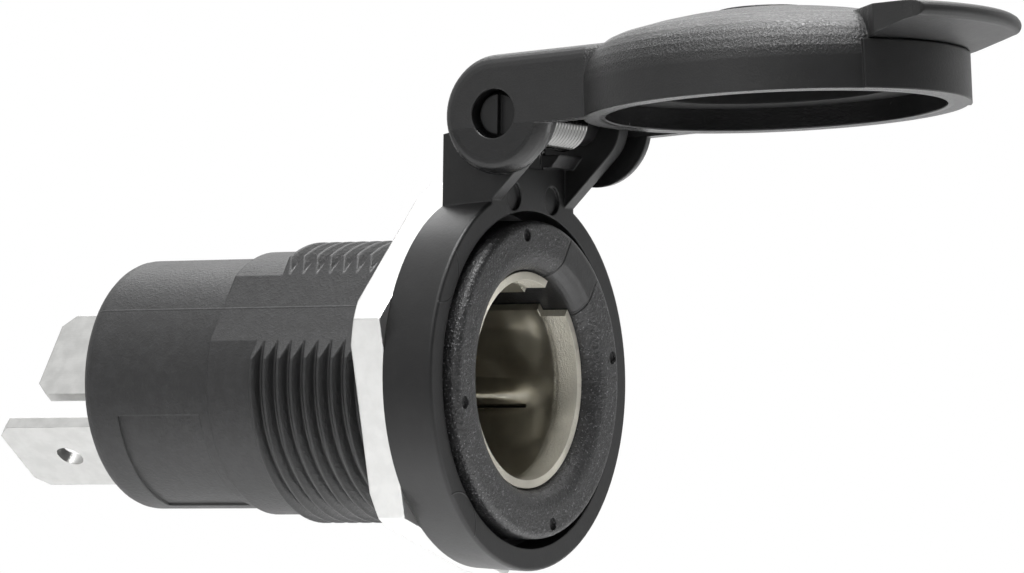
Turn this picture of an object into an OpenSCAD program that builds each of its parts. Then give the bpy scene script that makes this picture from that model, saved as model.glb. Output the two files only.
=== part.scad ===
// Panel power socket for a 12 mm plug, with a hinged lid.
// The axis of the socket is Y and the plug goes in along +Y. The back face of
// the hinge ring, which seats on the panel, lies in the plane y = 0, and +Z
// points from the axis towards the hinge. Radii grow outwards from the bore of
// the contact sleeve: barrel, collar, thread, flange, ring and lid.

/* [Contacts] */
// Bore of the contact sleeve, which takes the plug
sleeve_bore_d = 12.6; // [12.2:0.1:12.9]
// Thickness of the sheet that the sleeve is rolled from
sleeve_wall = 0.5; // [0.4:0.05:0.6]
// Width of the sleeve's slot at its mouth
slot_mouth_w = 3; // [2.4:0.1:3.4]
// Width of the slot further in
slot_w = 1.9; // [1.4:0.1:2.2]
// Length of the wide mouth of the slot
slot_mouth_len = 1.8; // [1:0.1:4]
// Width of the two slits that free the contact tongues
slit_w = 0.25; // [0.2:0.05:0.5]
// Width of each blade terminal
blade_w = 6.3; // [5.6:0.1:6.6]
// Thickness of the blade terminals
blade_t = 0.8; // [0.6:0.05:1]
// Length of the sleeve's blade outside the housing
sleeve_blade_out = 7.9; // [6:0.1:10]
// Length of the centre contact's blade outside the housing
centre_blade_out = 6.6; // [6:0.1:10]
// Diameter of the hole in each blade
blade_hole_d = 1.8; // [1.2:0.1:2.2]
// Diameter of the head of the centre contact
contact_head_d = 4.6; // [4:0.1:5]

/* [Housing] */
// Wall of the rear barrel round the sleeve's chamber
barrel_wall = 1.12; // [1:0.02:1.3]
// Step from the rear barrel up to the plain collar
collar_rise = 0.4; // [0.2:0.05:0.6]
// Step from the collar up to the crests of the thread
thread_rise = 0.55; // [0.45:0.05:0.7]
// Pitch of the thread
thread_pitch = 1; // [0.8:0.05:1.25]
// Depth of the thread
thread_depth = 0.54; // [0.4:0.02:0.56]
// Length of thread behind the panel seat
thread_len = 11.65; // [8:0.05:13]
// Length of the plain collar behind the thread
collar_len = 3.55; // [2:0.05:5]
// Distance from the panel seat to the back of the housing
housing_depth = 25.3; // [24:0.1:29]
// Fillet round the back end
back_fillet = 1.2; // [0.4:0.1:1.6]
// Thickness of the floor that the blades pass through
floor_t = 4.3; // [3.6:0.1:5]
// Width of the front flange outside the thread
flange_w = 1.05; // [0.9:0.05:1.4]
// Radius of the flange's front edge
flange_round = 0.5; // [0.2:0.05:0.6]
// How far the flange stands proud of the ring's face
flange_proud = 0.7; // [0.5:0.1:1.2]
// Depth of the sleeve's mouth below the flange face
sleeve_set_back = 1; // [0.6:0.1:1.4]
// Radius of the rounded lead-in at the mouth
lead_in_r = 1.35; // [0.8:0.05:1.6]
// Turn of the housing in the ring, seen from the front
housing_turn = 11.3; // [-30:0.1:30]
// Depth of the bare label panel on the barrel
label_depth = 0.15; // [0.1:0.05:0.3]

/* [Nut] */
// Wall of the nut from the thread's crests to its flats
nut_wall = 2.05; // [1.6:0.05:3]
// Thickness of the nut
nut_t = 2.3; // [1.8:0.1:4]
// Turn of the nut's corners, seen from the front
nut_turn = 45; // [0:1:60]

/* [Hinge ring] */
// Width of the gap round the flange
flange_gap = 0.6; // [0.3:0.05:0.7]
// Width of the ring's rim round that gap
ring_rim_w = 1.4; // [1.2:0.05:2]
// Taper of the ring's diameter from front to back
ring_taper = 0.4; // [0:0.05:0.8]
// Thickness of the ring
ring_t = 3.6; // [3.2:0.1:4.2]
// Thickness of the ring's floor under the flange
ring_floor_t = 1.2; // [0.8:0.1:1.6]
// Width of the bracket over its two ears
bracket_w = 10; // [9.4:0.1:11]
// Thickness of each ear
ear_t = 1.1; // [0.8:0.05:1.4]
// Wall of each ear round the pin
ear_wall = 1.55; // [1.3:0.05:1.7]
// Height of the hinge pin over the edge of the ring
pin_rise = 4.2; // [4:0.1:5.2]
// Distance of the hinge pin in front of the ring's face
pin_proud = 1.17; // [0.9:0.01:1.5]
// Diameter of the hinge pin
pin_d = 2.5; // [2:0.1:2.8]

/* [Lid] */
// Angle that the lid stands open
lid_open = 93.5; // [60:0.5:96]
// How far the lid's skirt lies inside the edge of the ring
lid_inset = 0.12; // [0:0.02:0.4]
// Wall thickness of the lid
lid_wall = 1.3; // [0.9:0.05:1.5]
// Height of the lid over its rim
lid_h = 6.3; // [5.8:0.05:7.2]
// Radius of the crown of the lid
crown_r = 35; // [28:1:60]
// Radius round the lid's shoulder
shoulder_r = 3; // [2:0.1:3.4]
// Gap between the closed lid's rim and the ring's face
rim_gap = 0.34; // [0.3:0.02:0.6]
// Gap between each ear and the cheek outside it
cheek_gap = 0.85; // [0.3:0.05:1]
// Thickness of each cheek
cheek_t = 1.1; // [0.95:0.05:1.4]
// Wall of the knuckle that wraps over the ears
knuckle_wall = 0.78; // [0.6:0.02:1]
// Radius along the outer edges of the arm and the cheeks
arm_round = 0.9; // [0.3:0.1:0.9]
// Play of the cheeks' holes round the pin, on the radius
cheek_play = 0.3; // [0.2:0.02:0.4]
// How far the pin's ends lie below the cheeks
pin_recess = 0.55; // [0.3:0.05:0.65]
// Width of the finger tab and of the pad under it
tab_w = 13.6; // [10:0.1:14]
// How far the finger tab reaches out of the skirt
tab_out = 3.42; // [2.4:0.02:4.4]
// Thickness of the finger tab at its tip
tab_tip_t = 1.05; // [0.8:0.05:1.4]
// Thickness of the finger tab at the skirt
tab_root_t = 1.95; // [1.5:0.05:2.05]
// Height of the top of the tab over the rim
tab_top = 5.05; // [4.9:0.05:5.3]
// Diameter of the flat disc on the crown
disc_d = 5.8; // [4:0.1:8]
// Depth of the seal's face inside the rim
seal_depth = 1.4; // [0.8:0.1:1.6]
// Thickness of the seal
seal_t = 1; // [0.8:0.05:1.1]
// Width of the seal's ring
seal_w = 2.6; // [1.8:0.1:2.8]

/* [Spring] */
// Diameter of the spring wire
wire_d = 0.38; // [0.3:0.02:0.4]
// Clearance between the coil and the pin
coil_clear = 0.16; // [0.1:0.02:0.25]
// Width of the lug that holds the spring's fixed leg
lug_w = 2.7; // [2:0.1:3]

/* [Hidden] */
$fn = 72;
eps = 0.01;

// contacts
key_turn = housing_turn + 45;
sleeve_r = sleeve_bore_d / 2;
sleeve_out_r = sleeve_r + sleeve_wall;
sleeve_clear = 0.08;
chamber_r = sleeve_out_r + sleeve_clear;
chamber_floor = housing_depth - floor_t;
foot_y = chamber_floor - blade_t;
sleeve_foot_y = foot_y - sleeve_wall;
foot_half_w = 2.2;
slit_turn = 68.5;
slit_from_mouth = 3.7;
slit_from_end = 2;
tongue_inset = 0.2;
head_clear = 0.3;
blade_slot_clear = 0.1;
blade_chamfer = 0.85;
hole_from_tip = 4.1;
sleeve_blade_inset = 0.66;
sleeve_blade_x = -(sleeve_r - blade_t / 2 - sleeve_blade_inset);
sleeve_foot_x = -(contact_head_d / 2 + head_clear);
centre_blade_z = 1.9;
centre_blade_x = 0.83;
centre_foot = [[sleeve_foot_x + 0.7, -2.6], [2.9, centre_blade_z]];
rivet_space = sleeve_foot_x - sleeve_blade_x - blade_t / 2;
rivet_x = sleeve_foot_x - rivet_space / 2;
rivet_head_h = 0.6;
peen_r = rivet_space / 2 - 0.02;
peen_h = 0.5;
shank_wall = 0.3;
contact_shank_r = 0.9;
contact_h = 1.8;
contact_gap = 0.2;
sleeve_end = foot_y - contact_h - contact_gap;
contact_round = 0.7;
pocket_clear = 0.15;

// housing, nut and ring
barrel_r = chamber_r + barrel_wall;
collar_r = barrel_r + collar_rise;
thread_r = collar_r + thread_rise;
root_r = thread_r - thread_depth;
thread_end = 0.4;
collar_end = thread_len + collar_len;
flange_r = thread_r + flange_w;
flange_face = -(ring_t + flange_proud);
sleeve_mouth = flange_face + sleeve_set_back;
flange_mark_r = 0.42;
flange_mark_inset = 0.83;
flange_mark_depth = 0.25;
label_y = [collar_end + 1, housing_depth - 2.9];
label_turn = -163;
label_angle = 62;
nut_clear = 0.06;
nut_corner_r = (thread_r + nut_wall) / cos(30);
nut_face_r = thread_r + nut_wall + 0.96;
ring_clear = 0.1;
ring_r = flange_r + flange_gap + ring_rim_w;
ring_round = 0.2;
ring_mark_r = 0.9;
ring_mark_depth = 0.2;
ring_mark_at = [bracket_w / 2 - 2.65, ring_r - 0.6];

// hinge
pin_z = ring_r + pin_rise;
pin_y = ring_t + pin_proud;
pin_at = [0, -pin_y, pin_z];
pin_cut = 0.4;
bracket_top = pin_z - 2.9;
ear_out = bracket_w / 2;
ear_in = ear_out - ear_t;
ear_r = pin_d / 2 + ear_wall;
ear_foot_z = ring_r - 0.95;
stop_angle = 192;
stop_gap_angle = 5;
knuckle_r = ear_r + 0.17;
cheek_r = knuckle_r + knuckle_wall;
cheek_in = ear_out + cheek_gap;
cheek_out = cheek_in + cheek_t;

// lid
lid_r = ring_r - lid_inset;
rim_y = -(ring_t + rim_gap);
shoulder_h = lid_h - crown_r + sqrt(pow(crown_r - shoulder_r, 2) - pow(lid_r - shoulder_r, 2));
crown_angle = asin((lid_r - shoulder_r) / (crown_r - shoulder_r));
arm_start = lid_r - 5.5;
pad_proud = 0.2;
pad_h = 3;
disc_h = 0.03;
disc_shift = 0.6;
tab_reach = lid_r + tab_out;
tab_corner_r = 2;
tab_root_in = 3.9;
tab_root_w = tab_w / 2 - 2.3;
seal_out_r = lid_r - lid_wall - 0.05;
seal_in_r = seal_out_r - seal_w;
seal_bevel = 0.7;

// spring
coil_r = pin_d / 2 + coil_clear + wire_d / 2;
coil_out_r = coil_r + wire_d / 2;
ear_gap = 0.15;
turn_gap = 0.03;
leg_gap = 0.05;
lug_gap = 0.2;
coil_over_lug = 0.8;
coil_left = -ear_in + ear_gap;
coil_len = 2 * ear_in - ear_gap - lug_w + coil_over_lug;
coil_turns = floor(coil_len / (wire_d + turn_gap));
leg_len = 4.2;
leg_rise = knuckle_r + leg_len * tan(lid_open - 90) - leg_gap - coil_out_r;
lug_top = pin_z - coil_out_r - lug_gap;
lug_face = [[-pin_y - 0.07, lug_top], [-pin_y + 0.58, lug_top - 0.78]];
lug_back = -pin_y + coil_r - wire_d / 2 - leg_gap;

// Lays a shape that is made along +Z along +Y.
module along_y() {
    rotate([-90, 0, 0]) children();
}

// Turns a shape about the socket's axis, seen from the front.
module turned(a) {
    rotate([0, -a, 0]) children();
}

// A disc or tube about the socket's axis, from y0 to y1.
module tube(r, r_in, y0, y1) {
    translate([0, y0, 0]) along_y() difference() {
        cylinder(r = r, h = y1 - y0);
        if (r_in > 0) translate([0, 0, -eps]) cylinder(r = r_in, h = y1 - y0 + 2 * eps);
    }
}

// A revolved outline, given as [radius, y] points.
module turned_outline(points) {
    along_y() rotate_extrude() polygon(points);
}

// A box from its low corner to its high corner.
module block(low, high) {
    translate(low) cube(high - low);
}

// Points on an arc, as [x, y], from angle a to angle b in n steps.
function arc(c, r, a, b, n) =
    [for (i = [0:n]) let (u = a * (1 - i / n) + b * (i / n)) c + r * [cos(u), sin(u)]];

// The outline of the threaded barrel: one V groove for each pitch, from the
// back of the thread forwards.
groove_count = floor((thread_len - thread_end) / thread_pitch);
groove_flat = thread_pitch / 8;
function groove(i) = let (y = thread_len - groove_flat - i * thread_pitch)
    [[thread_r, y], [root_r, y - thread_pitch / 2 + groove_flat], [root_r, y - thread_pitch / 2],
     [thread_r, y - thread_pitch + groove_flat]];

module housing_body() {
    grooves = [for (i = [0:groove_count - 1]) for (p = groove(i)) p];
    turned_outline(concat(
        [[0, flange_face]],
        arc([flange_r - flange_round, flange_face + flange_round], flange_round, 270, 360, 5),
        [[flange_r, -ring_floor_t], [thread_r, -ring_floor_t]],
        [for (i = [len(grooves) - 1:-1:0]) grooves[i]],
        [[thread_r, thread_len], [collar_r, thread_len], [collar_r, collar_end], [barrel_r, collar_end]],
        arc([barrel_r - back_fillet, housing_depth - back_fillet], back_fillet, 0, 90, 6),
        [[0, housing_depth]]));
}

module mouth_and_chamber() {
    turned_outline(concat(
        [[0, flange_face - 1], [chamber_r + lead_in_r, flange_face - 1]],
        arc([chamber_r + lead_in_r, flange_face + lead_in_r], lead_in_r, 270, 180, 8),
        [[chamber_r, chamber_floor], [0, chamber_floor]]));
}

// The slot in the floor round a blade w wide and t thick, centred on [x, z].
module blade_slot(x, z, w, t) {
    half = [w / 2 + blade_slot_clear, 0, t / 2 + blade_slot_clear];
    block([x, chamber_floor - eps, z] - half, [x, housing_depth + eps, z] + half);
}

module housing() {
    color([0.13, 0.13, 0.13]) difference() {
        housing_body();
        mouth_and_chamber();
        turned(key_turn) {
            // two flats along the barrel and through the thread
            for (s = [-1, 1]) block([-thread_r - 1, eps, s > 0 ? barrel_r : -thread_r - 1],
                                    [thread_r + 1, collar_end + eps, s > 0 ? thread_r + 1 : -barrel_r]);
            blade_slot(sleeve_blade_x, 0, blade_t, blade_w);
            blade_slot(centre_blade_x, centre_blade_z, blade_w, blade_t);
            // pockets for the riveted ends
            for (x = [rivet_x, 0]) translate([x, 0, 0])
                tube(peen_r + pocket_clear, 0, chamber_floor - eps, chamber_floor + peen_h + pocket_clear);
        }
        // four small marks in the flange face
        for (a = [0:90:270]) turned(a + housing_turn) translate([flange_r - flange_mark_inset, 0, 0])
            tube(flange_mark_r, 0, flange_face - eps, flange_face + flange_mark_depth);
        // bare label panel on the lower side of the barrel
        turned(label_turn) translate([0, label_y[0], 0]) along_y() rotate([0, 0, -label_angle])
            rotate_extrude(angle = label_angle)
                translate([barrel_r - label_depth, 0]) square([1, label_y[1] - label_y[0]]);
    }
}

// The sleeve is rolled from sheet. Its slot faces +X of the turned frame, and
// it ends in front of the centre contact's head. On the opposite side a tongue
// runs on to the foot under the sleeve rivet.
module contact_sleeve() {
    past = sleeve_out_r + 1;
    color([0.78, 0.77, 0.72]) turned(key_turn) {
        difference() {
            tube(sleeve_out_r, sleeve_r, sleeve_mouth, sleeve_end);
            block([0, sleeve_mouth - 1, -slot_w / 2], [past, sleeve_end + 1, slot_w / 2]);
            block([0, sleeve_mouth - 1, -slot_mouth_w / 2],
                  [past, sleeve_mouth + slot_mouth_len, slot_mouth_w / 2]);
            for (a = [-slit_turn, slit_turn]) turned(a)
                block([sleeve_r - 1, sleeve_mouth + slit_from_mouth, -slit_w / 2],
                      [past, sleeve_end - slit_from_end, slit_w / 2]);
        }
        intersection() {
            tube(sleeve_out_r, 0, sleeve_end - eps, foot_y);
            block([-past, 0, -foot_half_w], [tongue_inset - sleeve_r, housing_depth, foot_half_w]);
        }
        difference() {
            intersection() {
                tube(sleeve_r + eps, 0, sleeve_foot_y, foot_y);
                block([-past, 0, -foot_half_w], [sleeve_foot_x, housing_depth, foot_half_w]);
            }
            translate([rivet_x, 0, 0]) tube(peen_r - shank_wall, 0, sleeve_foot_y - 1, foot_y + 1);
        }
    }
}

// A blade with chamfered tip corners and a locking hole. It lies in the plane
// z = 0 of its own frame, thickness along Z, width along X, tip towards +Y.
module blade(out) {
    tip = housing_depth + out;
    half = blade_w / 2;
    translate([0, 0, -blade_t / 2]) difference() {
        linear_extrude(blade_t) polygon([[-half, foot_y], [half, foot_y], [half, tip - blade_chamfer],
            [half - blade_chamfer, tip], [blade_chamfer - half, tip], [-half, tip - blade_chamfer]]);
        translate([0, tip - hole_from_tip, -1]) cylinder(d = blade_hole_d, h = blade_t + 2);
    }
}

module sleeve_terminal() {
    color([0.83, 0.83, 0.81]) turned(key_turn) {
        translate([sleeve_blade_x, 0, 0]) rotate([0, 90, 0]) blade(sleeve_blade_out);
        difference() {
            block([sleeve_blade_x, foot_y, -foot_half_w], [sleeve_foot_x, chamber_floor, foot_half_w]);
            translate([rivet_x, 0, 0]) tube(peen_r - shank_wall, 0, foot_y - 1, chamber_floor + 1);
        }
    }
}

// The rivet's head lies on the sleeve's foot and its peened end behind the
// foot of the terminal.
module sleeve_rivet() {
    color([0.72, 0.6, 0.3]) turned(key_turn) translate([rivet_x, 0, 0]) {
        tube(rivet_space / 2, 0, sleeve_foot_y - rivet_head_h, sleeve_foot_y);
        tube(peen_r - shank_wall, 0, sleeve_foot_y - eps, chamber_floor + eps);
        tube(peen_r, 0, chamber_floor, chamber_floor + peen_h);
    }
}

module centre_terminal() {
    color([0.83, 0.83, 0.81]) turned(key_turn) difference() {
        union() {
            translate([centre_blade_x, 0, centre_blade_z]) blade(centre_blade_out);
            block([centre_foot[0][0], foot_y, centre_foot[0][1]],
                  [centre_foot[1][0], chamber_floor, centre_foot[1][1]]);
        }
        tube(contact_shank_r, 0, foot_y - 1, chamber_floor + 1);
    }
}

module centre_contact() {
    head_r = contact_head_d / 2;
    front = foot_y - contact_h;
    color([0.75, 0.62, 0.3]) turned(key_turn) turned_outline(concat(
        [[0, front]],
        arc([head_r - contact_round, front + contact_round], contact_round, -90, 0, 4),
        [[head_r, sleeve_foot_y], [contact_shank_r, sleeve_foot_y], [contact_shank_r, chamber_floor],
         [peen_r, chamber_floor], [peen_r, chamber_floor + peen_h], [0, chamber_floor + peen_h]]));
}

// The nut's corners are chamfered at 30 degrees on its back side only.
module hex_nut() {
    far_r = nut_corner_r + 1;
    color([0.86, 0.86, 0.85]) turned(nut_turn) difference() {
        intersection() {
            along_y() cylinder(r = nut_corner_r, h = nut_t, $fn = 6);
            turned_outline([[0, -1], [far_r, -1], [far_r, nut_t - (far_r - nut_face_r) * tan(30)],
                            [nut_face_r - 1 / tan(30), nut_t + 1], [0, nut_t + 1]]);
        }
        tube(thread_r + nut_clear, 0, -1, nut_t + 1);
    }
}

// Where a line from p touches the circle at c, on side s.
function touch(p, c, r, s) =
    let (d = norm(p - c), a = atan2(p[1] - c[1], p[0] - c[0]) + s * acos(r / d)) c + r * [cos(a), sin(a)];

module circle_at(c, r) {
    translate(c) circle(r = r);
}

// The side view of one ear, as [y, z]: round about the pin, leaning forward
// from the ring's face, with a stop face for the open lid at its back.
module ear_outline() {
    c = [-pin_y, pin_z];
    front = [-ring_t, ear_foot_z];
    difference() {
        union() {
            circle_at(c, ear_r);
            polygon([front, touch(front, c, ear_r, -1), c, [0, pin_z + pin_y * tan(180 - stop_angle)],
                     [0, front[1]]]);
        }
        circle_at(c, pin_d / 2);
    }
}

// Lays a side view, drawn as [y, z], across the part from x0 to x1.
module across(x0, x1) {
    translate([x0, 0, 0]) rotate([90, 0, 90]) linear_extrude(x1 - x0) children();
}

// The lug hangs over the ring's face under the coil, and the fixed leg of the
// spring bears on its back.
module spring_lug() {
    across(ear_in - lug_w, ear_in + eps)
        polygon([lug_face[0], lug_face[1], [-ring_t, lug_face[1][1]], [-ring_t, bracket_top - 1],
                 [lug_back, bracket_top - 1], [lug_back, lug_top]]);
}

module hinge_ring() {
    color([0.1, 0.1, 0.1]) difference() {
        union() {
            turned_outline(concat([[0, -ring_t]],
                arc([ring_r - ring_round, -ring_t + ring_round], ring_round, -90, 0, 4),
                [[ring_r - ring_taper / 2, 0], [0, 0]]));
            // foot of the bracket, flush with the ring's two faces
            block([-ear_out, -ring_t, 0], [ear_out, 0, bracket_top]);
            across(-ear_out, -ear_in) ear_outline();
            across(ear_in, ear_out) ear_outline();
            spring_lug();
        }
        tube(flange_r + flange_gap, 0, -ring_t - 1, -ring_floor_t);
        tube(thread_r + ring_clear, 0, -ring_t - 1, 1);
        // two round marks at the foot of the bracket
        for (s = [-1, 1]) translate([s * ring_mark_at[0], 0, ring_mark_at[1]])
            tube(ring_mark_r, 0, -ring_t - eps, -ring_t + ring_mark_depth);
    }
}

module hinge_pin() {
    end = cheek_out - pin_recess;
    color([0.2, 0.2, 0.2]) translate(pin_at) difference() {
        rotate([0, 90, 0]) cylinder(d = pin_d, h = 2 * end, center = true);
        // each end is cut back over its front half
        for (s = [-1, 1]) translate([s * end, -pin_d / 2, 0])
            cube([2 * pin_cut, pin_d, pin_d + 1], center = true);
    }
}

// A close-wound spring with one leg under the lid's arm and one behind the lug.
wire_sides = 8;
coil_steps = 14;
function coil_point(i) = let (t = i / coil_steps, a = 90 - 360 * t)
    [coil_left + wire_d / 2 + t * (coil_len - wire_d) / (coil_turns + 0.75),
     -coil_r * cos(a), coil_r * sin(a)];
coil_last = coil_steps * (coil_turns + 0.75);
function leg_a(k) = coil_point(0) + [0, -leg_len * k, leg_rise * k];
function leg_b(k) = coil_point(coil_last) + [0, 0, -k * (pin_z - bracket_top - wire_d)];
spring_path = concat([leg_a(1), leg_a(0.3)], [for (i = [0:coil_last]) coil_point(i)],
                     [leg_b(0.35), leg_b(1)]);

// A round wire swept along a path whose points never turn back on themselves.
module wire(path, r, sides) {
    n = len(path);
    function dir(i) = let (d = path[min(i + 1, n - 1)] - path[max(i - 1, 0)]) d / norm(d);
    function side(i) = let (v = cross(dir(i), [1, 0, 0])) v / norm(v);
    points = [for (i = [0:n - 1]) for (k = [0:sides - 1])
        let (u = side(i), w = cross(dir(i), u), a = 360 * k / sides) path[i] + r * (cos(a) * u + sin(a) * w)];
    faces = concat([[for (k = [0:sides - 1]) k]], [[for (k = [0:sides - 1]) n * sides - 1 - k]],
        [for (i = [0:n - 2]) for (k = [0:sides - 1]) let (q = (k + 1) % sides)
            [i * sides + k, (i + 1) * sides + k, (i + 1) * sides + q, i * sides + q]]);
    polyhedron(points, faces);
}

module torsion_spring() {
    color([0.85, 0.85, 0.84]) translate(pin_at) wire(spring_path, wire_d / 2, wire_sides);
}

// The lid is drawn closed and then turned open about the pin.
module opened() {
    translate(pin_at) rotate([-lid_open, 0, 0]) translate(-pin_at) children();
}

// Half outline of the lid, moved inwards by t all round, as [radius, y].
function lid_outline(t, h0) = [for (p = concat([[0, h0], [lid_r - t, h0]],
    arc([lid_r - shoulder_r, shoulder_h], shoulder_r - t, 0, 90 - crown_angle, 6),
    arc([0, lid_h - crown_r], crown_r - t, 90 - crown_angle * 0.8, 90, 5))) [p[0], rim_y - p[1]]];

// Section of the cheek on side s, as [distance from the pin, x], from r0
// outwards, with a round outer edge.
module cheek_section(r0, s) {
    polygon(concat([[r0, s * cheek_in], [cheek_r, s * cheek_in]],
        arc([cheek_r - arm_round, s * (cheek_out - arm_round)], arm_round, 0, s * 90, 5),
        [[r0, s * cheek_out]]));
}

// Side view of the web, as [y, z]: straight over the arm, and round the pin as
// a knuckle that ends at the stop.
module web_outline() {
    knuckle_end = lid_open + stop_gap_angle + 180 - stop_angle;
    far = 3 * cheek_r;
    circle_mid = 135;
    translate([-pin_y, pin_z]) {
        intersection() {
            difference() {
                circle(r = cheek_r);
                circle(r = knuckle_r);
            }
            polygon([[0, 0], far * [-1, 0], far * [cos(circle_mid), sin(circle_mid)],
                     far * [cos(knuckle_end), sin(knuckle_end)]]);
        }
        translate([-cheek_r, arm_start - pin_z]) square([knuckle_wall, pin_z - arm_start]);
    }
}

// The arm is a channel: a web over two cheeks. It runs straight out of the
// lid's shoulder, and beyond the pin the web wraps over the ears.
module arm() {
    translate([0, -pin_y, arm_start]) rotate([0, 0, -90]) linear_extrude(pin_z - arm_start)
        for (s = [-1, 1]) cheek_section(-pin_y - rim_y, s);
    // the quarter of the round cheeks that lies inside the straight part is left out
    translate(pin_at) rotate([0, 90, 0])
        for (s = [-1, 1]) rotate_extrude(angle = 270) cheek_section(0, s);
    across(-cheek_in - eps, cheek_in + eps) web_outline();
}

// Plan of the finger tab: a round front edge with round corners, and a root
// that narrows into the crown.
function tab_plan() =
    let (w = tab_w / 2, reach = tab_reach + 0.3, cx = w - tab_corner_r,
         cz = -sqrt(pow(reach - tab_corner_r, 2) - cx * cx), a = atan2(cz, cx))
    concat([[tab_root_w, tab_root_in - lid_r], [w, 1.3 - lid_r]], arc([cx, cz], tab_corner_r, 0, a, 5),
           arc([0, 0], reach, a, -180 - a, 8), arc([-cx, cz], tab_corner_r, -180 - a, -180, 5),
           [[-w, 1.3 - lid_r], [-tab_root_w, tab_root_in - lid_r]]);

// The tab is flat on top, thins out towards its tip and has a round nose.
module tab() {
    nose = tab_tip_t / 2;
    under = tab_top - tab_root_t;
    profile = concat([[lid_r - 5, tab_top]], arc([tab_reach - nose, tab_top - nose], nose, 90, -90, 8),
                     [[lid_r + 0.12, under], [lid_r - 5, under]]);
    intersection() {
        turned_outline([for (p = profile) [p[0], rim_y - p[1]]]);
        translate([0, rim_y - 2, 0]) rotate([90, 0, 0]) linear_extrude(tab_top) polygon(tab_plan());
    }
}

module pad() {
    half = asin(tab_w / 2 / lid_r);
    translate([0, rim_y, 0]) turned(-90) rotate([90, 0, 0]) rotate([0, 0, -half])
        rotate_extrude(angle = 2 * half) translate([lid_r - 0.5, 0]) square([0.5 + pad_proud, pad_h]);
}

module lid() {
    color([0.15, 0.15, 0.15]) opened() difference() {
        union() {
            turned_outline(lid_outline(0, 0));
            translate([0, 0, disc_shift]) tube(disc_d / 2, 0, rim_y - lid_h - disc_h, rim_y - lid_h + 1);
            arm();
            tab();
            pad();
        }
        turned_outline(lid_outline(lid_wall, -1));
        for (s = [-1, 1]) translate(pin_at) rotate([0, 90, 0]) translate([0, 0, s * cheek_out])
            cylinder(r = pin_d / 2 + cheek_play, h = 2 * cheek_t + 1, center = true);
    }
}

// The seal's back edge is bevelled to clear the inside of the shoulder.
module lid_seal() {
    face = rim_y - seal_depth;
    color([0.08, 0.08, 0.08]) opened() turned_outline([
        [seal_in_r, face], [seal_out_r, face], [seal_out_r, face - seal_t + seal_bevel],
        [seal_out_r - seal_bevel, face - seal_t], [seal_in_r, face - seal_t]]);
}

housing();
contact_sleeve();
sleeve_terminal();
sleeve_rivet();
centre_terminal();
centre_contact();
hex_nut();
hinge_ring();
hinge_pin();
torsion_spring();
lid();
lid_seal();
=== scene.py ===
"""Dresses the panel power socket with its hinged lid: its finishes, spring, light and camera."""

import math

import bpy
from bpy.props import FloatProperty, FloatVectorProperty, PointerProperty
from mathutils import Matrix, Vector


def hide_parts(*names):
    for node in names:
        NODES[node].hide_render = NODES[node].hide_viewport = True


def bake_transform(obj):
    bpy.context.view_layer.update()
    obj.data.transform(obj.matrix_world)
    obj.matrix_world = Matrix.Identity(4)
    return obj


bl_info = {
    "name": "Panel power socket",
    "version": (1, 0, 0),
    "blender": (4, 5, 0),
    "location": "3D View > Sidebar > Socket",
    "description": "Finishes and stages a threaded power socket with a sprung lid",
    "category": "Object",
}

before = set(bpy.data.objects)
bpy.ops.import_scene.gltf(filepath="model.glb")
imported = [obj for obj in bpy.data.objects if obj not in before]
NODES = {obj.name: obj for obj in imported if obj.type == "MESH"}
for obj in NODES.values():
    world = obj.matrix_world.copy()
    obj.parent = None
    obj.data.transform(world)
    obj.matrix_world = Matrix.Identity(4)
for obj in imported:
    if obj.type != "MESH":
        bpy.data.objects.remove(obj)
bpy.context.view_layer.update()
MM = 0.001

# Places on the part, in millimetres.
PIN_Y, PIN_Z = -4.77, 16.2
RING_FACE, SLEEVE_MOUTH, LID_RIM_Y = -3.6, -3.3, -3.94
THREAD_R, THREAD_LEN, FLATS_HALF = 8.95, 11.65, 8.0
# The turn of the contacts and flats about the socket's axis, and of the open lid about its pin.
KEY_TURN = math.radians(56.3)
LID_OPEN = math.radians(93.5)

# Where finishes begin and end, in millimetres: a pair has its first value where the finish is
# absent and its second where it is full.
FLANGE_FRONT = (-1.6, -2.2)
PARTING_WIDTH, PARTING_FROM = (0.09, 0.02), (7.2, 7.4)
STRIP_HALF, STRIP_FROM = 2.0, (5.2, 5.6)
EJECTORS, EJECTOR_R = ((-10.8, 6.3), (-8.4, -9.3)), 2.0
ARM_HALF, ARM_FROM = (7.1, 6.95), (9.4, 9.7)
DOME_OVER, DOME_R = (1.7, 3.0), (12.0, 11.85)
INSIDE_OVER, INSIDE_R = (5.4, 5.0), (11.0, 10.8)
LIP_OVER = (0.12, 0.04)
# The sleeve's leaning sheet: along it in millimetres, and round it from its slot in radians.
SLIT_ALONG, SLIT_ROUND = (-1.5, 7.5), (0.98, 1.19)
TONGUE_ALONG, TONGUE_ROUND = (-2.6, 1.8), (0.2, 0.55)

# The swept wire of the spring.
STEPS_A_TURN, WIRE_SIDES = 28, 12

# The studio, in metres: half the floor's side, and the point that the lamps look at.
FLOOR_HALF = 4.0
LAMP_AIM = Vector((0, 0, 0.004))
# Each lamp's azimuth and elevation in degrees, its distance and size, and its power in watts.
LAMPS = {
    "key": (-95, 42, 0.5, (0.3, 0.3), 0.7),
    "top": (-20, 80, 0.3, (0.2, 0.12), 1.5),
    "rear": (112, 54, 0.42, (0.45, 0.2), 1.1),
    "under": (-40, -82, 0.05, (0.12, 0.08), 0.03),
    "front": (32, -10, 0.2, (0.1, 0.04), 0.045),
}
# What the part mirrors: the dark side's direction about +Z from +X and its soft edge, and where
# the light from above and below begins. Both pairs are parts of a unit direction.
DARK_SIDE, DARK_EDGE = math.radians(-90), (0.45, 0.72)
OVERHEAD_FROM = (0.2, 0.85)
# How brightly the camera sees the floor by itself, as a share of its colour.
FLOOR_GLOW = 0.75

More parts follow.
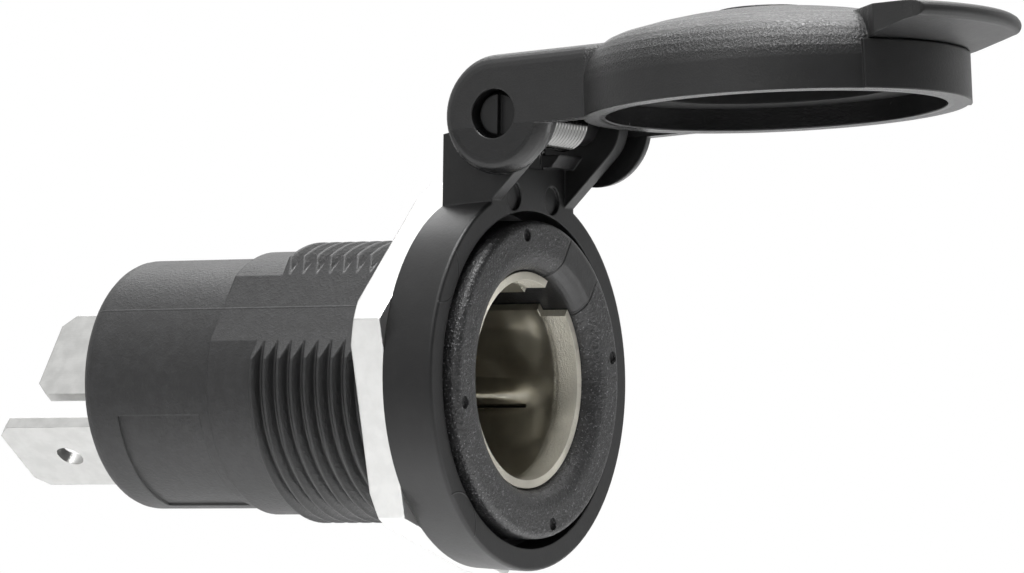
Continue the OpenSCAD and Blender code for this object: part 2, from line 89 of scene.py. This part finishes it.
# The colour sockets of a Mix node, which share their names with its other sockets.
MIX_A, MIX_B, MIX_RESULT = 6, 7, 2


def colour(name, description, default):
    """A colour."""
    return FloatVectorProperty(
        name=name, description=description, default=default, subtype="COLOR", size=3, min=0, max=1
    )


def length(name, description, default):
    """A length in metres."""
    return FloatProperty(
        name=name, description=description, default=default, unit="LENGTH", min=0, precision=5
    )


def bearing(name, description, degrees):
    """An angle, whose default is given in degrees."""
    return FloatProperty(
        name=name, description=description, default=math.radians(degrees), subtype="ANGLE"
    )


def amount(name, description, default, **limits):
    """A plain number."""
    return FloatProperty(name=name, description=description, default=default, **limits)


class PlasticLook(bpy.types.PropertyGroup):
    """Colours and grain of the black mouldings."""

    housing: colour("Housing", "Colour of the glass-filled housing", (0.011, 0.011, 0.0114))
    ring: colour("Ring", "Colour of the hinge ring and the pin", (0.006, 0.006, 0.0062))
    lid: colour("Lid", "Colour of the lid", (0.0065, 0.0065, 0.0067))
    rubber: colour("Seal", "Colour of the rubber seal", (0.004, 0.004, 0.004))
    grain: length("Grain", "Size of the grain in the mouldings", 0.00022)
    speck: length("Speck", "Size of the glass fibres' specks in the housing", 0.00022)
    sparkle: length("Sparkle", "Size of the spark-eroded grain on the lid", 0.00015)
    edge: length("Edge radius", "How far the mouldings' edges are rounded", 0.00016)
    # how much the painted glints lighten the colour: painted highlights, not specks of another
    # colour
    glint: amount("Glint", "Brightness of the finest specks", 13.0, min=1)


class MetalLook(bpy.types.PropertyGroup):
    """Colours of the plated and plain metal."""

    nickel: colour("Nickel", "Colour of the contact sleeve", (0.74, 0.71, 0.62))
    tin: colour("Tin", "Colour of the tinned blades", (0.52, 0.52, 0.51))
    zinc: colour("Zinc", "Colour of the plated nut", (0.67, 0.67, 0.66))
    brass: colour("Brass", "Colour of the turned contact and the rivet", (0.7, 0.52, 0.24))
    steel: colour("Steel", "Colour of the spring wire", (0.2, 0.2, 0.196))
    rough_band: length("Cut edge", "Width of the rough band at the sleeve's mouth", 0.0016)


class SpringSize(bpy.types.PropertyGroup):
    """Sizes of the torsion spring's wire and coil."""

    wire: length("Wire", "Diameter of the wire", 0.00038)
    coil: length("Coil", "Mean diameter of the coil", 0.0032)
    run: length("Run", "Length of the coil along the pin", 0.00575)
    start: length("Start", "Distance of the first turn from the middle of the pin", 0.00375)
    turns: amount("Turns", "Turns of the coil", 14.75, min=1)
    leg: length("Leg", "Length of the leg under the lid's arm", 0.0042)
    leg_rise: length("Leg's rise", "How far that leg rises towards the arm", 0.0014)
    drop: length("Drop", "Length of the fixed leg behind the lug", 0.00252)


class StageSetup(bpy.types.PropertyGroup):
    """Camera, light and floor."""

    azimuth: bearing("Azimuth", "Camera's angle round the part", -59.0337)
    elevation: bearing("Elevation", "Camera's angle above the part", -3.26433)
    roll: bearing("Roll", "Camera's roll", 0.742961)
    aim: FloatVectorProperty(
        name="Aim",
        description="Point the camera looks at",
        default=(0.0017099, -0.0011161, 0.0060046),
        subtype="XYZ",
    )
    distance: length("Distance", "Distance from the camera to its aim", 0.464162)
    lens: amount("Lens", "Focal length for a 36 mm sensor", 258.522, unit="CAMERA")
    floor_drop: length("Floor", "Depth of the floor below the part's axis", 0.06)
    white: colour("White", "Colour of the floor and the background", (0.8, 0.8, 0.8))
    ambient: amount("Ambient", "Strength of the light from all round", 0.3, min=0)
    sides: amount("Sides", "Brightness mirrored from the bright sides", 0.8, min=0)
    overhead: amount("Overhead", "Brightness mirrored from above and below", 1.1, min=0)
    shade: amount("Shade", "Depth of the dark side", 0.93, min=0, max=1)


class Look(bpy.types.PropertyGroup):
    """All the settings of the scene."""

    plastic: PointerProperty(type=PlasticLook)
    metal: PointerProperty(type=MetalLook)
    spring: PointerProperty(type=SpringSize)
    stage: PointerProperty(type=StageSetup)


class Wire:
    """A shader socket that takes part in Python expressions; each operation adds its Math node."""

    def __init__(self, shader, socket):
        self.shader, self.socket = shader, socket

    def _maths(self, operation, *values):
        return self.shader.node("Math", {"operation": operation}, dict(enumerate(values)))

    def __add__(self, other):
        return self._maths("ADD", self, other)

    def __sub__(self, other):
        return self._maths("SUBTRACT", self, other)

    def __rsub__(self, other):
        return self._maths("SUBTRACT", other, self)

    def __mul__(self, other):
        return self._maths("MULTIPLY", self, other)

    def __pow__(self, other):
        return self._maths("POWER", self, other)

    def __abs__(self):
        return self._maths("ABSOLUTE", self)

    def most(self, other):
        """The larger of this and the other."""
        return self._maths("MAXIMUM", self, other)

    def root(self):
        """The square root."""
        return self._maths("SQRT", self)

    def angle_from(self, other):
        """The angle whose tangent is this over the other, in radians."""
        return self._maths("ARCTAN2", self, other)

    def rise(self, low, high):
        """Goes smoothly from 0 at low to 1 at high, or falls where high is the smaller."""
        ends = (low, high, 0, 1) if low < high else (high, low, 1, 0)
        values = {"Value": self, **dict(enumerate(ends, 1))}
        return self.shader.node("MapRange", {"interpolation_type": "SMOOTHSTEP"}, values)

    def between(self, low, high, soft):
        """1 from low to high, fading out over soft on each side."""
        return self.rise(low - soft, low + soft) * self.rise(high + soft, high - soft)

    __radd__ = __add__
    __rmul__ = __mul__


class Shader:
    """The node tree of one material or world."""

    def __init__(self, owner):
        owner.use_nodes = True
        self.owner, self.tree = owner, owner.node_tree
        self.tree.nodes.clear()

    def node(self, kind, settings=None, inputs=None, out=0):
        """Adds a node of a kind: its settings first, then the values or links of its sockets."""
        made = self.tree.nodes.new("ShaderNode" + kind)
        for key, value in (settings or {}).items():
            setattr(made, key, value)
        for key, value in (inputs or {}).items():
            if isinstance(value, Wire):
                self.tree.links.new(value.socket, made.inputs[key])
            else:
                made.inputs[key].default_value = value
        return Wire(self, made.outputs[out]) if len(made.outputs) else made

    def place(self):
        """The point on the object, in millimetres, as a vector."""
        coords = self.node("TexCoord", out="Object")
        return self.node("VectorMath", {"operation": "SCALE"}, {0: coords, "Scale": 1 / MM})

    def split(self, vector):
        """The three parts of a vector."""
        made = self.node("SeparateXYZ", None, {0: vector}).socket.node
        return [Wire(self, output) for output in made.outputs]

    def joined(self, x, y, z):
        """A vector of three parts."""
        return self.node("CombineXYZ", None, {0: x, 1: y, 2: z})

    def noise(self, place, size, detail=2.0, rough=0.5):
        """Soft noise between 0 and 1 whose blots are about size millimetres."""
        values = {"Vector": place, "Scale": 1 / size, "Detail": detail, "Roughness": rough}
        return self.node("TexNoise", None, values)

    def tint(self, mask, low, high):
        """A colour that goes from low to high with the mask."""
        values = {0: mask, MIX_A: solid(low), MIX_B: solid(high)}
        return self.node("Mix", {"data_type": "RGBA"}, values, out=MIX_RESULT)

    def bumps(self, height, distance, strength=1.0, normal=None):
        """A normal from a height; distance is what a height of 1 stands for, in millimetres."""
        links = {"Height": height, "Distance": distance * MM, "Strength": strength}
        if normal is not None:
            links["Normal"] = normal
        return self.node("Bump", None, links)

    def bevel(self, radius):
        """The normal with the edges rounded, by a radius in metres."""
        return self.node("Bevel", {"samples": 6}, {"Radius": radius})

    def finish(self, **inputs):
        """The surface, with the given sockets of the shader."""
        named = {key.replace("_", " "): value for key, value in inputs.items()}
        surface = self.node("BsdfPrincipled", None, named)
        self.node("OutputMaterial", None, {"Surface": surface})
        return self.owner


def solid(rgb):
    """A colour as a socket takes it; a wire stays as it is."""
    return rgb if isinstance(rgb, Wire) else (*rgb, 1)


def scaled(rgb, factor):
    """A colour made lighter or darker."""
    return tuple(min(1, c * factor) for c in rgb)


def material(name):
    """The empty node tree of a new material, and the point on the object in it."""
    s = Shader(bpy.data.materials.new(name))
    return s, s.place()


def wear(finish, *pieces):
    """Gives pieces of the frame their finish."""
    for piece in pieces:
        for slot in NODES[piece].material_slots:
            slot.material = finish


def turned_parts(s, place, turn):
    """The place's parts in a frame turned about the socket's axis: across, along, up."""
    x, y, z = s.split(place)
    return x * math.cos(turn) + z * math.sin(turn), y, z * math.cos(turn) - x * math.sin(turn)


def grain_height(s, place, size):
    """Fine moulded grain: small pits over soft mottling."""
    pits = s.noise(place, size, detail=3, rough=0.65)
    return pits * 0.7 + s.noise(place, size * 3.2, detail=1) * 0.3


def nylon(look):
    """Glass-filled nylon: matt and finely grained, with the mould's parting line along a flat. Its
    colour holds painted glints on the flange's face, and painted shade in the thread's grooves and
    along the strip's two edges.
    """
    s, p = material("glass_filled_nylon")
    across, along, up = turned_parts(s, p, KEY_TURN)
    radius = (across * across + up * up).root()
    grain = grain_height(s, p, look.grain / MM)
    fibres = s.noise(s.joined(across * 0.35, along, up * 0.35), 0.5, detail=2)
    line = abs(across).rise(*PARTING_WIDTH) * up.rise(*PARTING_FROM) * along.rise(0, 0.3)
    # the core that shapes the sleeve's slot leaves a smooth strip with two fine edges in the
    # flange; the edges are fine grooves whose colour is darkened as painted shade
    face = along.rise(*FLANGE_FRONT)
    front = face * across.rise(*STRIP_FROM)
    strip = abs(up).rise(STRIP_HALF + 0.06, STRIP_HALF) * front
    edges = abs(abs(up) - STRIP_HALF).rise(0.13, 0.04) * front
    # the thread's grooves, apart from the flats, are smoother, show no painted glints and keep the
    # darker tone of the blots as painted shade
    smooth_and_shaded_groove = radius.rise(THREAD_R - 0.04, THREAD_R - 0.3) * along.between(0, THREAD_LEN, 0.05)
    smooth_and_shaded_groove = smooth_and_shaded_groove * abs(up).rise(FLATS_HALF - 0.02, FLATS_HALF - 0.12)
    speck = s.noise(p, look.speck / MM, detail=2, rough=0.7).rise(0.4, 0.75) * (1 - strip * 0.85)
    height = grain * 0.3 + fibres * 0.15 + speck * (face * 0.5 + 0.22) + line * 0.4 - edges * 3
    rough = 0.42 + grain * 0.16 + s.noise(p, 4.0) * 0.08 - smooth_and_shaded_groove * 0.2 - face * 0.12
    # painted shade: the thread's grooves keep the darker tone
    blots = s.noise(p, 0.7, detail=4).rise(0.35, 0.75) * (1 - smooth_and_shaded_groove)
    # painted highlights: glints painted into the colour as bright specks, mostly on the flange's
    # face
    painted_glints = s.noise(p, look.speck / MM * 0.6, detail=1).rise(0.6, 0.78)
    painted_glints = painted_glints * (face * 0.95 + 0.05) * (1 - strip) * (1 - smooth_and_shaded_groove)
    base = s.tint(blots, scaled(look.housing, 0.8), scaled(look.housing, 1.5))
    base = s.tint(painted_glints, base, scaled(look.housing, look.glint))
    return s.finish(
        # painted shade along the strip's two fine grooves
        Base_Color=s.tint(edges, base, scaled(look.housing, 0.1)),
        Roughness=rough,
        Normal=s.bumps(height, 0.04, normal=s.bevel(look.edge)),
    )


def ring_plastic(look):
    """The ring's smoother plastic: faint flow marks, and the round marks of two ejectors."""
    s, p = material("ring_plastic")
    x, y, z = s.split(p)
    grain = grain_height(s, p, look.grain / MM * 0.8)
    marks = 0.0
    for mark_x, mark_z in EJECTORS:
        from_mark = ((x - mark_x) ** 2 + (z - mark_z) ** 2).root()
        marks = from_mark.between(EJECTOR_R - 0.04, EJECTOR_R + 0.04, 0.03) + marks
    marks = marks * y.rise(RING_FACE + 0.1, RING_FACE + 0.04)
    flow = s.noise(p, 1.1, detail=3).rise(0.4, 0.8)
    return s.finish(
        Base_Color=s.tint(flow, look.ring, scaled(look.ring, 1.4)),
        Roughness=0.31 + grain * 0.12 + s.noise(p, 3.0) * 0.1,
        Normal=s.bumps(grain * 0.4 + marks, 0.03, normal=s.bevel(look.edge)),
        Specular_IOR_Level=0.38,
    )


def lid_parts(s, place):
    """The place in the frame of the closed lid.

    Its parts are across, over the rim, towards the arm, and the distance from the lid's axis.
    """
    x, y, z = s.split(place)
    forward, over = y - PIN_Y, z - PIN_Z
    along = forward * math.cos(LID_OPEN) - over * math.sin(LID_OPEN) + PIN_Y
    up = forward * math.sin(LID_OPEN) + over * math.cos(LID_OPEN) + PIN_Z
    return x, LID_RIM_Y - along, up, (x * x + up * up).root()


def lid_plastic(look):
    """The lid's plastic: spark-eroded grain on the dome, smoother inside and at the lip. Its colour
    holds painted glints on the dome and painted shade inside.
    """
    s, p = material("lid_plastic")
    x, over_rim, up, radius = lid_parts(s, p)
    arm = abs(x).rise(*ARM_HALF) * up.rise(*ARM_FROM)
    dome = over_rim.rise(*DOME_OVER) * radius.rise(*DOME_R) * (1 - arm)
    inside = over_rim.rise(*INSIDE_OVER) * radius.rise(*INSIDE_R)
    lip = over_rim.rise(*LIP_OVER)
    spark = s.noise(p, look.sparkle / MM, detail=3, rough=0.7).rise(0.38, 0.72)
    fine = grain_height(s, p, look.grain / MM)
    height = fine * 0.1 + spark * (dome * 0.2 + 0.05)
    # painted shade: the lid's inside keeps the darker tone
    blots = s.noise(p, 1.3, detail=3).rise(0.4, 0.8) * (1 - inside)
    # painted highlights: sparkles painted into the colour, mostly on the dome
    painted_glints = s.noise(p, look.sparkle / MM * 0.7, detail=1).rise(0.62, 0.8) * (dome * 0.95 + 0.05)
    base = s.tint(blots, scaled(look.lid, 0.9), scaled(look.lid, 1.25))
    return s.finish(
        Base_Color=s.tint(painted_glints, base, scaled(look.lid, look.glint)),
        Roughness=0.38 + fine * 0.14 - dome * 0.1 - inside * 0.2 - lip * 0.2,
        Normal=s.bumps(height, 0.1, normal=s.bevel(look.edge)),
    )


def rubber(look):
    """The seal's soft, cloudy rubber."""
    s, p = material("black_rubber")
    return s.finish(
        Base_Color=s.tint(s.noise(p, 1.5, detail=3), look.rubber, scaled(look.rubber, 1.6)),
        Roughness=0.6 + s.noise(p, 0.6) * 0.2,
        Normal=s.bumps(s.noise(p, 0.25, detail=3), 0.02, normal=s.bevel(look.edge)),
        Specular_IOR_Level=0.25,
    )


def metal(s, mask, rgb, dark, rough, normal):
    """A metal surface whose colour is darker, by the factor dark, where the mask is 0."""
    return s.finish(
        Base_Color=s.tint(mask, scaled(rgb, dark), rgb),
        Metallic=1.0,
        Roughness=rough,
        Normal=normal,
    )


def nickel(look):
    """Nickel-plated sheet: drawn round the sleeve, with a rough die-cut band inside the rim."""
    s, p = material("nickel_plate")
    across, along, up = turned_parts(s, p, KEY_TURN)
    angle = up.angle_from(across)
    side = abs(angle)
    rolled = s.noise(s.joined(angle * 6, along * 0.25, 0.0), 0.35, detail=4, rough=0.7)
    mottled = s.noise(p, 0.45, detail=4, rough=0.6)
    band_end = SLEEVE_MOUTH + look.rough_band / MM
    torn = s.noise(s.joined(angle * 14, along * 3.0, 0.0), 0.5, detail=5, rough=0.8)
    band = (along + torn * 0.9).rise(band_end + 0.6, band_end + 0.2)
    height = rolled * 0.2 + mottled * 0.15 + torn * band * 6.0
    # the press leaves the sheet leaning inwards along the slits, across the tongues and at the
    # cut edge
    leaning = along.rise(*SLIT_ALONG) * side.between(*SLIT_ROUND, 0.1) * 3.6
    leaning = leaning + along.rise(*TONGUE_ALONG) * side.between(*TONGUE_ROUND, 0.2) * 0.85
    leaning = leaning + along.rise(SLEEVE_MOUTH - 0.3, band_end + 0.2) * 0.4
    waves = s.noise(p, 3.0, detail=1) * 0.55
    form = s.bumps(leaning + waves, 1.0, normal=s.bevel(0.00006))
    stain = s.noise(p, 2.2, detail=3).rise(0.35, 0.75)
    rough = 0.28 + mottled * 0.14 + band * 0.1
    return metal(s, stain, look.nickel, 0.86, rough, s.bumps(height, 0.03, 0.8, form))


def tin(look):
    """Tinned blades: soft cloudy sheen with fine scratches along the blade."""
    s, p = material("tinned_brass")
    x, y, z = s.split(p)
    cloud = s.noise(p, 1.1, detail=4, rough=0.6)
    scratch = s.noise(s.joined(x * 3, y * 0.3, z * 3), 0.3, detail=3)
    normal = s.bumps(cloud * 0.5 + scratch * 0.5, 0.02, 0.7, s.bevel(0.00008))
    return metal(s, cloud.rise(0.3, 0.7), look.tin, 0.88, 0.26 + cloud * 0.18, normal)


def zinc(look):
    """Bright zinc on the nut."""
    s, p = material("zinc_plate")
    cloud = s.noise(p, 0.9, detail=4, rough=0.6)
    normal = s.bumps(cloud, 0.02, 0.6, s.bevel(0.00015))
    return metal(s, cloud.rise(0.3, 0.7), look.zinc, 0.93, 0.3 + cloud * 0.16, normal)


def brass(look):
    """Brass with the fine rings that turning leaves."""
    s, p = material("turned_brass")
    x, y, z = s.split(p)
    radius = (x * x + z * z).root()
    rings = s.noise(s.joined(radius * 4, y * 4, 0.0), 0.3, detail=3)
    normal = s.bumps(rings, 0.01, 0.6, s.bevel(0.0001))
    return metal(s, rings, look.brass, 0.85, 0.22 + rings * 0.15, normal)


def steel(look):
    """Bright drawn wire."""
    s, p = material("spring_steel")
    drawn = s.noise(p, 0.3, detail=3)
    normal = s.bumps(drawn, 0.008, 0.5)
    return metal(s, drawn, look.steel, 0.8, 0.07 + drawn * 0.1, normal)


class SOCKET_OT_dress_housing(bpy.types.Operator):
    """Gives the housing its glass-filled nylon"""

    bl_idname = "socket.dress_housing"
    bl_label = "Dress the housing"

    def execute(self, context):
        wear(nylon(context.scene.socket_look.plastic), "housing")
        return {"FINISHED"}


class SOCKET_OT_dress_contacts(bpy.types.Operator):
    """Plates the contact sleeve and the blades, and turns the centre contact and the rivet"""

    bl_idname = "socket.dress_contacts"
    bl_label = "Dress the contacts"

    def execute(self, context):
        look = context.scene.socket_look.metal
        wear(nickel(look), "contact_sleeve")
        wear(tin(look), "sleeve_terminal", "centre_terminal")
        wear(brass(look), "centre_contact", "sleeve_rivet")
        return {"FINISHED"}


class SOCKET_OT_dress_nut(bpy.types.Operator):
    """Plates the clamping nut"""

    bl_idname = "socket.dress_nut"
    bl_label = "Dress the nut"

    def execute(self, context):
        wear(zinc(context.scene.socket_look.metal), "hex_nut")
        return {"FINISHED"}


class SOCKET_OT_dress_hinge(bpy.types.Operator):
    """Gives the hinge ring and its pin their plastic"""

    bl_idname = "socket.dress_hinge"
    bl_label = "Dress the hinge ring"

    def execute(self, context):
        wear(ring_plastic(context.scene.socket_look.plastic), "hinge_ring", "hinge_pin")
        return {"FINISHED"}


class SOCKET_OT_dress_lid(bpy.types.Operator):
    """Gives the lid its grained plastic and the seal its rubber"""

    bl_idname = "socket.dress_lid"
    bl_label = "Dress the lid"

    def execute(self, context):
        look = context.scene.socket_look.plastic
        wear(lid_plastic(look), "lid")
        wear(rubber(look), "lid_seal")
        return {"FINISHED"}


def spring_path(size):
    """The wire's line from the tip of the free leg, round the pin and down the fixed leg."""
    pin = Vector((0, PIN_Y, PIN_Z)) * MM
    radius = size.coil / 2
    count = round(size.turns * STEPS_A_TURN)
    coil = []
    for i in range(count + 1):
        angle = math.pi / 2 - math.tau * i / STEPS_A_TURN
        along = size.wire / 2 - size.start + (size.run - size.wire) * i / count
        coil.append(pin + Vector((along, -radius * math.cos(angle), radius * math.sin(angle))))
    free = [coil[0] + Vector((0, -size.leg * k, size.leg_rise * k)) for k in (1, 0.6, 0.25)]
    fixed = [coil[-1] + Vector((0, 0, -size.drop * k)) for k in (0.3, 0.65, 1)]
    return free + coil + fixed


def swept(name, path, radius, sides):
    """A round wire along a path, closed at both ends."""
    points, faces = [], []
    for i, at in enumerate(path):
        ahead = (path[min(i + 1, len(path) - 1)] - path[max(i - 1, 0)]).normalized()
        side = ahead.cross(Vector((1, 0, 0))).normalized()
        other = ahead.cross(side)
        for k in range(sides):
            a = math.tau * k / sides
            points.append(at + radius * (math.cos(a) * side + math.sin(a) * other))
    for i in range(len(path) - 1):
        for k in range(sides):
            q = (k + 1) % sides
            faces.append([i * sides + k, i * sides + q, (i + 1) * sides + q, (i + 1) * sides + k])
    faces += [list(reversed(range(sides))), [len(points) - sides + k for k in range(sides)]]
    mesh = bpy.data.meshes.new(name)
    mesh.from_pydata(points, [], faces)
    for face in mesh.polygons:
        face.use_smooth = len(face.vertices) == 4
    made = bpy.data.objects.new(name, mesh)
    bpy.context.collection.objects.link(made)
    return made


class SOCKET_OT_wind_spring(bpy.types.Operator):
    """Winds the bright spring round the pin in place of the model's spring"""

    bl_idname = "socket.wind_spring"
    bl_label = "Wind the spring"

    def execute(self, context):
        look = context.scene.socket_look
        size = look.spring
        spring = swept("spring", spring_path(size), size.wire / 2, WIRE_SIDES)
        spring.data.materials.append(steel(look.metal))
        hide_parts("torsion_spring")
        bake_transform(spring)
        return {"FINISHED"}


def outwards(azimuth, elevation):
    """The direction from the part to the camera or a lamp; azimuth 0 is straight in front."""
    level = math.cos(elevation)
    return Vector((math.sin(azimuth) * level, -math.cos(azimuth) * level, math.sin(elevation)))


def add_camera(setup):
    """The camera stands at the photographed angle, far back behind a long lens."""
    back = outwards(setup.azimuth, setup.elevation)
    level = (-back).cross(Vector((0, 0, 1))).normalized()
    upright = level.cross(-back)
    right = math.cos(setup.roll) * level + math.sin(setup.roll) * upright
    up = math.cos(setup.roll) * upright - math.sin(setup.roll) * level
    data = bpy.data.cameras.new("camera")
    data.lens, data.sensor_width = setup.lens, 36
    data.clip_start, data.clip_end = 0.01, 10
    camera = bpy.data.objects.new("camera", data)
    stand = Matrix.Translation(Vector(setup.aim) + back * setup.distance)
    camera.matrix_world = stand @ Matrix((right, up, back)).transposed().to_4x4()
    bpy.context.collection.objects.link(camera)
    bpy.context.scene.camera = camera


def add_softbox(name, azimuth, elevation, distance, size, power):
    """A rectangular lamp that looks at the part and isn't seen itself."""
    back = outwards(math.radians(azimuth), math.radians(elevation))
    data = bpy.data.lights.new(name, "AREA")
    data.shape, data.energy = "RECTANGLE", power
    data.size, data.size_y = size
    lamp = bpy.data.objects.new(name, data)
    lamp.location = LAMP_AIM + back * distance
    lamp.rotation_mode = "QUATERNION"
    lamp.rotation_quaternion = (-back).to_track_quat("-Z", "Y")
    lamp.visible_camera = False
    bpy.context.collection.objects.link(lamp)


def add_floor(setup):
    """A large plain floor a little below the part, which stays pale where the camera sees it."""
    corners = [
        (x * FLOOR_HALF, y * FLOOR_HALF, 0) for x, y in ((-1, -1), (1, -1), (1, 1), (-1, 1))
    ]
    mesh = bpy.data.meshes.new("floor")
    mesh.from_pydata(corners, [], [(0, 1, 2, 3)])
    floor = bpy.data.objects.new("floor", mesh)
    floor.location.z = -setup.floor_drop
    bpy.context.collection.objects.link(floor)
    s, p = material("pale_floor")
    tone = s.tint(s.noise(p, 60.0, detail=2), scaled(setup.white, 0.985), setup.white)
    camera = s.node("LightPath", out="Is Camera Ray")
    finish = s.finish(
        Base_Color=tone,
        Roughness=0.7,
        Specular_IOR_Level=0.2,
        Emission_Color=s.tint(camera, (0, 0, 0), scaled(setup.white, FLOOR_GLOW)),
        Emission_Strength=1.0,
    )
    mesh.materials.append(finish)


def light_world(setup):
    """White where it is seen; the part mirrors a bright studio with one dark side."""
    world = bpy.data.worlds.new("studio")
    bpy.context.scene.world = world
    s = Shader(world)
    camera, glossy, glass = (
        s.node("LightPath", out=ray)
        for ray in ("Is Camera Ray", "Is Glossy Ray", "Is Transmission Ray")
    )
    x, y, z = s.split(s.node("TexCoord", out="Generated"))
    shade = (x * math.cos(DARK_SIDE) + y * math.sin(DARK_SIDE)).rise(*DARK_EDGE)
    overhead = abs(z).rise(*OVERHEAD_FROM) * setup.overhead
    mirrored = ((1 - shade * setup.shade) * setup.sides).most(overhead)
    seen = camera.most(glass)
    strength = seen + (1 - seen) * (glossy * mirrored + (1 - glossy) * setup.ambient)
    glow = s.node("Background", None, {"Color": (1, 1, 1, 1), "Strength": strength})
    s.node("OutputWorld", None, {"Surface": glow})


class SOCKET_OT_set_stage(bpy.types.Operator):
    """Adds the floor, the soft light and the camera"""

    bl_idname = "socket.set_stage"
    bl_label = "Set the stage"

    def execute(self, context):
        setup = context.scene.socket_look.stage
        add_camera(setup)
        add_floor(setup)
        light_world(setup)
        for name, lamp in LAMPS.items():
            add_softbox(name, *lamp)
        context.scene.view_settings.view_transform = "Standard"
        return {"FINISHED"}


PIECES = (
    SOCKET_OT_set_stage,
    SOCKET_OT_dress_housing,
    SOCKET_OT_dress_contacts,
    SOCKET_OT_dress_nut,
    SOCKET_OT_dress_hinge,
    SOCKET_OT_dress_lid,
    SOCKET_OT_wind_spring,
)


class SOCKET_PT_pieces(bpy.types.Panel):
    """Lists the pieces and their settings"""

    bl_idname = "SOCKET_PT_pieces"
    bl_label = "Power socket"
    bl_space_type = "VIEW_3D"
    bl_region_type = "UI"
    bl_category = "Socket"

    def draw(self, context):
        look = context.scene.socket_look
        for group in (look.plastic, look.metal, look.spring, look.stage):
            box = self.layout.box()
            for name in group.__annotations__:
                box.prop(group, name)
        for piece in PIECES:
            self.layout.operator(piece.bl_idname)


CLASSES = (PlasticLook, MetalLook, SpringSize, StageSetup, Look, *PIECES, SOCKET_PT_pieces)


def register():
    for cls in CLASSES:
        bpy.utils.register_class(cls)
    bpy.types.Scene.socket_look = PointerProperty(type=Look)


def unregister():
    del bpy.types.Scene.socket_look
    for cls in reversed(CLASSES):
        bpy.utils.unregister_class(cls)


def main():
    register()
    bpy.ops.socket.set_stage()
    bpy.ops.socket.dress_housing()
    bpy.ops.socket.dress_contacts()
    bpy.ops.socket.dress_nut()
    bpy.ops.socket.dress_hinge()
    bpy.ops.socket.dress_lid()
    bpy.ops.socket.wind_spring()


if __name__ == "__main__":
    main()
